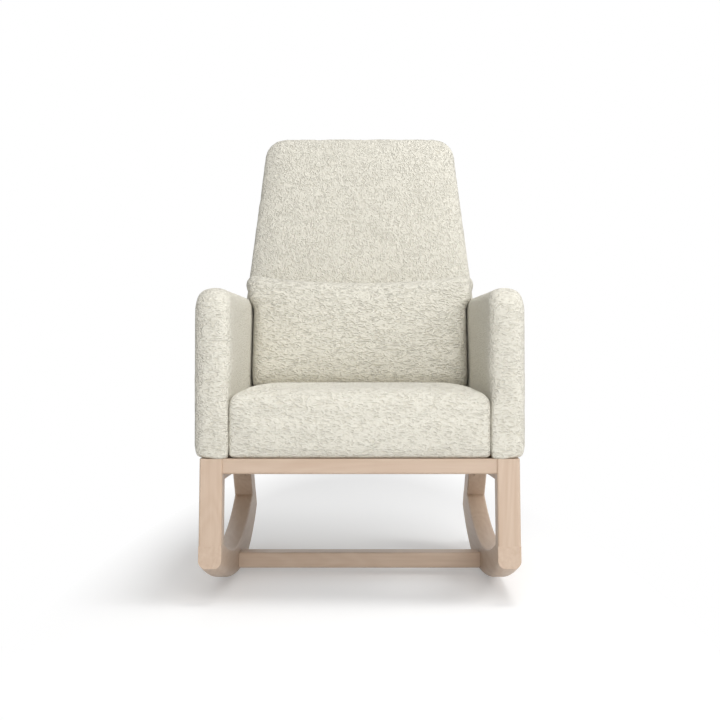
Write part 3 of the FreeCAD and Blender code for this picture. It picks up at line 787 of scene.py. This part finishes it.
@dataclass
class Underside:
    """The dust cloth under the seat, which sags a little."""

    cells: int = 40
    sag: float = 5 * MILLIMETRE

    def build(self) -> None:
        """Builds and dresses the cloth."""
        low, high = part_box("dust_cover")
        width, depth = high.x - low.x, high.y - low.y
        bpy.ops.object.select_all(action="DESELECT")
        bpy.ops.mesh.primitive_grid_add(x_subdivisions=self.cells, y_subdivisions=self.cells, size=1.0)
        cloth = bpy.context.active_object
        cloth.name = "dust_cloth"
        share = points_of(cloth)
        dip = np.cos(np.pi * share[:, 0]) * np.cos(np.pi * share[:, 1])
        places = np.column_stack((
            (low.x + high.x) / 2 + share[:, 0] * width,
            (low.y + high.y) / 2 + share[:, 1] * depth,
            (low.z + high.z) / 2 - self.sag * np.clip(dip, 0, 1) ** 0.7,
        ))
        put_points(cloth, places)
        only(cloth)
        bpy.ops.object.shade_smooth()
        weave = Speckled("dust_cloth_black", linear(58, 57, 56), linear(38, 38, 38), 0.9 * MILLIMETRE,
                         0.1 * MILLIMETRE)
        cloth.data.materials.append(weave.material())
        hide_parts("dust_cover")
        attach(cloth, Body.CHAIR.value)
        log.info("dust_cloth: %.3f by %.3f m", width, depth)


@dataclass
class Insides:
    """Finishes of the pieces that the covers hide."""

    def finishes(self) -> dict[str, bpy.types.Material]:
        """Material of each kind of piece, by the record's slot."""
        pine = Timber("frame_pine", Grain.ACROSS, linear(222, 195, 150), linear(190, 150, 100),
                      figure=0.16, roughness=0.62, lacquer=0.0)
        ply = Timber("birch_ply", Grain.DEEP, linear(224, 203, 168), linear(196, 168, 128),
                     figure=0.05, roughness=0.6, lacquer=0.0)
        beech = Timber("beech_dowel", Grain.ACROSS, linear(214, 176, 140), linear(186, 142, 104),
                       figure=0.04, roughness=0.6, lacquer=0.0)
        felt = Speckled("deck_felt", linear(150, 148, 144), linear(104, 102, 100), 1.4 * MILLIMETRE,
                        0.3 * MILLIMETRE)
        strap = Speckled("webbing_strap", linear(86, 80, 72), linear(46, 42, 38), 1.1 * MILLIMETRE,
                         0.3 * MILLIMETRE, (0.3, 1.0, 1.0))
        board = Speckled("backing_board", linear(176, 152, 118), linear(150, 124, 92), 2.0 * MILLIMETRE,
                         0.08 * MILLIMETRE, (1.0, 1.0, 0.3))
        zinc = Speckled("zinc_steel", linear(190, 192, 194), linear(150, 153, 157), 3.0 * MILLIMETRE,
                        0.03 * MILLIMETRE, roughness=0.38, metallic=1.0)
        return {"frame_wood": pine.material(), "plywood": ply.material(), "dowel_beech": beech.material(),
                "deck_felt": felt.material(), "webbing": strap.material(), "backing_board": board.material(),
                "zinc_steel": zinc.material()}

    def build(self) -> None:
        """Dresses every node that is still shown."""
        finishes = self.finishes()
        for entry in frame["record"]["subparts"]:
            piece = frame["nodes"][entry["node"]]
            if piece.hide_render:
                continue
            piece.data.materials.clear()
            piece.data.materials.append(finishes[entry["material_slot"]])
            log.info("%s: %s", entry["node"], entry["material_slot"])


@dataclass(frozen=True)
class Lamp:
    """A soft square lamp: its place, what it points at, its side in metres and its power in watts."""

    name: str
    place: Triple
    target: Triple
    size: float
    power: float

    def hang(self) -> None:
        """Adds the lamp to the scene."""
        data = bpy.data.lights.new(self.name, "AREA")
        data.shape = "SQUARE"
        data.size = self.size
        data.energy = self.power
        lamp = bpy.data.objects.new(self.name, data)
        lamp.location = self.place
        towards = Vector(self.target) - Vector(self.place)
        lamp.rotation_euler = towards.to_track_quat("-Z", "Y").to_euler()
        bpy.context.scene.collection.objects.link(lamp)


@dataclass
class Studio:
    """Camera, floor and soft light."""

    eye: Triple = (0.0005, -2.3614, 0.490)
    lens: float = 50.0
    floor_size: float = 40.0
    floor_glow: float = 0.26
    shadow_shape: Triple = (1.75, 0.42, 0.0)
    shadow_reach: float = 0.75
    fade: float = 0.35
    surround_light: float = 0.38
    lamps: tuple[Lamp, ...] = (
        Lamp("key", (0.5, -3.1, 2.6), (0.0, 0.0, 0.4), 1.8, 42.0),
        Lamp("overhead", (0.7, -0.5, 3.2), (0.0, 0.0, 0.4), 1.2, 27.0),
        Lamp("front", (0.2, -3.4, 0.4), (0.0, 0.0, 0.2), 1.6, 32.0),
        Lamp("side", (2.6, -0.6, 1.8), (-0.3, 0.0, 0.5), 1.2, 22.0),
        Lamp("rear", (-0.3, 3.2, 2.4), (0.0, 0.0, 0.4), 1.6, 10.0),
    )

    def build(self) -> None:
        """Sets the camera, the floor, the surrounding white and the lamps."""
        self.camera()
        self.floor()
        self.surround()
        for lamp in self.lamps:
            lamp.hang()
        bpy.context.scene.view_settings.view_transform = "Standard"

    def camera(self) -> None:
        """Camera at the eye, level, looking along the chair."""
        data = bpy.data.cameras.new("camera")
        data.lens = self.lens
        data.sensor_width = 36.0
        camera = bpy.data.objects.new("camera", data)
        camera.location = self.eye
        camera.rotation_euler = (math.pi / 2, 0.0, 0.0)
        bpy.context.scene.collection.objects.link(camera)
        bpy.context.scene.camera = camera

    def floor(self) -> None:
        """White floor that keeps the chair's shadow and fades to plain white around it."""
        bpy.ops.object.select_all(action="DESELECT")
        bpy.ops.mesh.primitive_plane_add(size=self.floor_size)
        floor = bpy.context.active_object
        floor.name = "floor"
        paint = Paint.named("floor_white")
        matt = paint.node("ShaderNodeBsdfDiffuse", {}, {"Color": (0.8, 0.8, 0.8)})
        glow = paint.node("ShaderNodeEmission", {}, {"Color": (1.0, 1.0, 1.0), "Strength": self.floor_glow})
        white = paint.node("ShaderNodeEmission", {}, {"Color": (1.0, 1.0, 1.0), "Strength": 1.0})
        both = paint.node("ShaderNodeAddShader", {}, {0: matt.outputs[0], 1: glow.outputs[0]})
        around = paint.scaled(paint.place(), self.shadow_shape)
        reach = paint.node("ShaderNodeVectorMath", {"operation": "LENGTH"}, {0: around})
        far = ((Value(paint, reach.outputs["Value"]) - self.shadow_reach) * (1 / self.fade)).held()
        fading = paint.node("ShaderNodeMixShader", {}, {0: far, 1: both.outputs[0], 2: white.outputs[0]})
        paint.show({0: self.seen(paint), 1: matt.outputs[0], 2: fading.outputs[0]})
        floor.data.materials.append(paint.material)

    def seen(self, paint: Paint) -> Value:
        """One for rays that show the background, straight, in gloss or through glass."""
        path = paint.node("ShaderNodeLightPath", {}, {})
        rays = [Value(paint, path.outputs[f"Is {kind} Ray"]) for kind in ("Camera", "Glossy", "Transmission")]
        return (rays[0] + rays[1] + rays[2]).held()

    def surround(self) -> None:
        """White all round, and soft light from it."""
        world = bpy.data.worlds.new("white")
        bpy.context.scene.world = world
        paint = Paint(world)
        white = (1.0, 1.0, 1.0)
        light = paint.node("ShaderNodeBackground", {}, {"Color": white, "Strength": self.surround_light})
        shown = paint.node("ShaderNodeBackground", {}, {"Color": white, "Strength": 1.0})
        paint.show({0: self.seen(paint), 1: light.outputs[0], 2: shown.outputs[0]})


def main() -> None:
    """Builds the chair's looks in order."""
    logging.basicConfig(level=logging.INFO, format="%(asctime)s %(name)s: %(message)s")
    Studio().build()
    Upholstery(rail_top=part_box("seat_cover")[0].z).build()
    WoodenBase().build()
    Underside().build()
    Insides().build()


if __name__ == "__main__":
    main()
